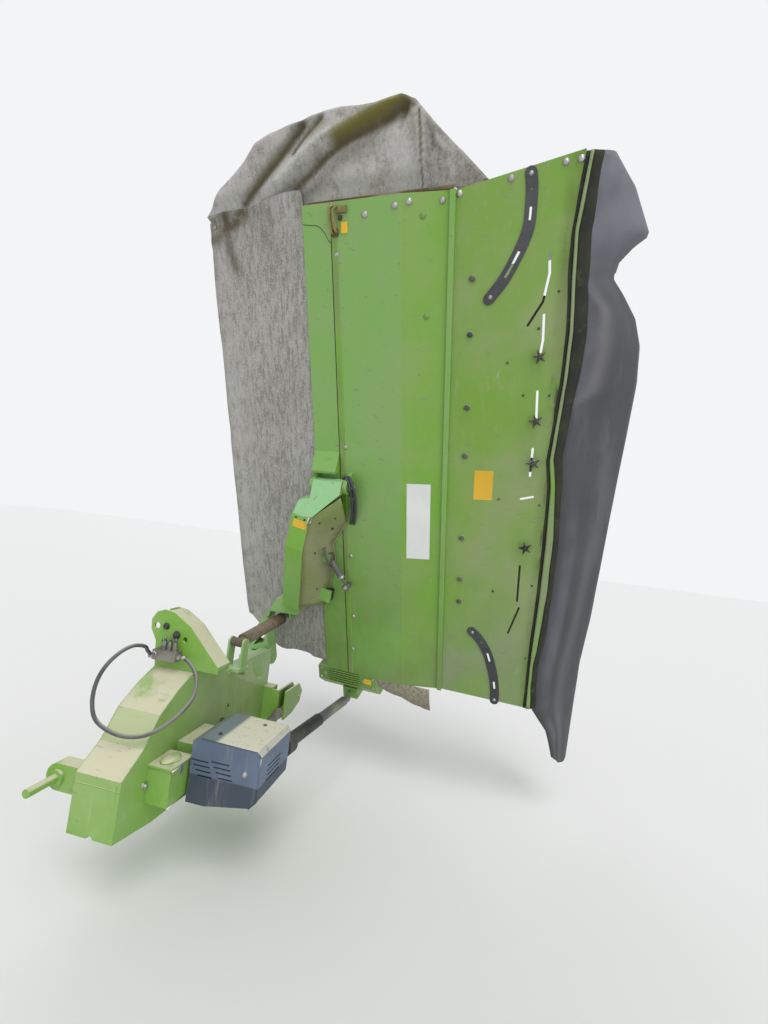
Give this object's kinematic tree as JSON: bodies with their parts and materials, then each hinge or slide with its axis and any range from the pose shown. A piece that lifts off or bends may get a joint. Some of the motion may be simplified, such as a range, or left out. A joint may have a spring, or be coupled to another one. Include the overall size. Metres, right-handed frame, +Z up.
{
  "type": "rear-mounted disc mower conditioner",
  "caption": "Rear-mounted disc mower conditioner folded up for the road: swan-neck headstock, fold arm, hood, tine rotor, cutter bar and cloth guards.",
  "frame": {"origin": "middle of the left lower-link pin", "axes": "+X to the machine's right along the lower-link pins, +Y forward in the direction of travel, +Z up"},
  "size_m": [2.6141, 2.5775, 3.756],
  "materials": {
    "lime_paint": "glossy lime green paint, dusty",
    "pale_casting": "lime green paint on castings, dusty",
    "guard_plastic": "dull blue-grey plastic",
    "bare_steel": "worn bare steel",
    "rusty_steel": "surface rust",
    "rubber": "dull black rubber",
    "tarpaulin": "grey-beige coated cloth, stained"
  },
  "bodies": {
    "headstock": {"main_beam": "lime_paint", "mast": "lime_paint", "link_bracket_left": "lime_paint", "link_bracket_right": "lime_paint", "gearbox": "bare_steel", "drive_guard": "guard_plastic", "tool_box": "lime_paint", "valve_block": "bare_steel", "hose": "rubber", "hinge_casting": "pale_casting", "kingpin": "bare_steel", "console": "lime_paint", "stay_strut": "guard_plastic"},
    "arm": {"fold_arm": "lime_paint", "arm_foot": "pale_casting", "arm_head": "pale_casting", "buffer": "rubber", "latch_cylinder": "guard_plastic"},
    "fold_barrel": {"fold_cylinder_barrel": "rusty_steel"},
    "fold_rod": {"fold_cylinder_rod": "bare_steel"},
    "shaft_tube": {"drive_shaft_tube": "rubber"},
    "shaft_rod": {"drive_shaft_rod": "guard_plastic"},
    "mower": {"hood_beam": "lime_paint", "hood_strip": "lime_paint", "hood_panel": "lime_paint", "hood_rib": "pale_casting", "swath_hood": "lime_paint", "end_plate_inner": "lime_paint", "end_plate_outer": "lime_paint", "cutter_bar": "bare_steel", "skids": "rusty_steel", "pendulum_bracket": "lime_paint", "inner_gearbox": "lime_paint", "conditioner_plate": "lime_paint", "swath_plates": "lime_paint", "front_guard_frame": "bare_steel", "front_tarp": "tarpaulin", "rear_curtain": "rubber", "inner_flap": "rubber"},
    "outer_guard": {"outer_guard_frame": "bare_steel", "outer_tarp": "tarpaulin"},
    "rotor": {"tine_rotor": "bare_steel"},
    "disc_1": {"disc_1": "bare_steel"},
    "disc_2": {"disc_2": "bare_steel"},
    "disc_3": {"disc_3": "bare_steel"},
    "disc_4": {"disc_4": "bare_steel"},
    "disc_5": {"disc_5": "bare_steel"},
    "disc_6": {"disc_6": "bare_steel"},
    "disc_7": {"disc_7": "bare_steel"}
  },
  "joints": [
    {"name": "fold", "type": "hinge", "parent": "headstock", "child": "arm", "pos_m": [1.58125, -0.227, 0.238], "axis": [0.1444, 0.9895, 0], "range_deg": [0, 111.8]},
    {"name": "pendulum", "type": "hinge", "parent": "arm", "child": "mower", "pos_m": [1.03427, -0.75558, 1.47047], "axis": [-0.1444, -0.9895, 0], "range_deg": [0, 10]},
    {"name": "outer_guard_fold", "type": "hinge", "parent": "mower", "child": "outer_guard", "pos_m": [0.53311, -0.96543, 2.91733], "axis": [-0.1444, -0.9895, 0], "range_deg": [0, 95]},
    {"name": "rotor_spin", "type": "hinge", "parent": "mower", "child": "rotor", "pos_m": [1.513, -0.98711, 1.75086], "axis": [-0.3675, 0.0536, 0.9285], "continuous": true},
    {"name": "disc_1_spin", "type": "hinge", "parent": "mower", "child": "disc_1", "pos_m": [2.35551, -0.63504, 0.79794], "axis": [-0.9188, 0.134, -0.3714], "continuous": true},
    {"name": "disc_2_spin", "type": "hinge", "parent": "mower", "child": "disc_2", "pos_m": [2.21146, -0.61403, 1.16191], "axis": [-0.9188, 0.134, -0.3714], "continuous": true},
    {"name": "disc_3_spin", "type": "hinge", "parent": "mower", "child": "disc_3", "pos_m": [2.06741, -0.59301, 1.52588], "axis": [-0.9188, 0.134, -0.3714], "continuous": true},
    {"name": "disc_4_spin", "type": "hinge", "parent": "mower", "child": "disc_4", "pos_m": [1.92336, -0.572, 1.88984], "axis": [-0.9188, 0.134, -0.3714], "continuous": true},
    {"name": "disc_5_spin", "type": "hinge", "parent": "mower", "child": "disc_5", "pos_m": [1.77931, -0.55098, 2.25381], "axis": [-0.9188, 0.134, -0.3714], "continuous": true},
    {"name": "disc_6_spin", "type": "hinge", "parent": "mower", "child": "disc_6", "pos_m": [1.63526, -0.52997, 2.61778], "axis": [-0.9188, 0.134, -0.3714], "continuous": true},
    {"name": "disc_7_spin", "type": "hinge", "parent": "mower", "child": "disc_7", "pos_m": [1.49121, -0.50895, 2.98174], "axis": [-0.9188, 0.134, -0.3714], "continuous": true},
    {"name": "fold_cylinder_swing", "type": "hinge", "parent": "headstock", "child": "fold_barrel", "pos_m": [0.95982, -0.33038, 0.468], "axis": [0.1444, 0.9895, 0], "range_deg": [0, 28.97]},
    {"name": "fold_cylinder_slide", "type": "slide", "parent": "fold_barrel", "child": "fold_rod", "axis": [0.973, -0.1419, 0.1822], "range_m": [0, 0.4197]},
    {"name": "drive_shaft_swing", "type": "hinge", "parent": "headstock", "child": "shaft_tube", "pos_m": [0.75136, -0.73957, 0], "axis": [0.1444, 0.9895, 0], "range_deg": [-18.12, 0]},
    {"name": "drive_shaft_slide", "type": "slide", "parent": "shaft_tube", "child": "shaft_rod", "axis": [0.9892, -0.1443, 0.0262], "range_m": [-0.388, 0]}
  ],
  "couplings": [
    {"joint": "disc_2_spin", "follows": "disc_1_spin", "ratio": -1},
    {"joint": "disc_3_spin", "follows": "disc_1_spin", "ratio": 1},
    {"joint": "disc_4_spin", "follows": "disc_1_spin", "ratio": -1},
    {"joint": "disc_5_spin", "follows": "disc_1_spin", "ratio": 1},
    {"joint": "disc_6_spin", "follows": "disc_1_spin", "ratio": -1},
    {"joint": "disc_7_spin", "follows": "disc_1_spin", "ratio": 1},
    {"joint": "fold_cylinder_swing", "follows": "fold", "ratio": 0.25737},
    {"joint": "fold_cylinder_slide", "follows": "fold", "m_per_rad": 0.21407},
    {"joint": "drive_shaft_swing", "follows": "fold", "ratio": -0.16026},
    {"joint": "drive_shaft_slide", "follows": "fold", "m_per_rad": -0.19783}
  ]
}
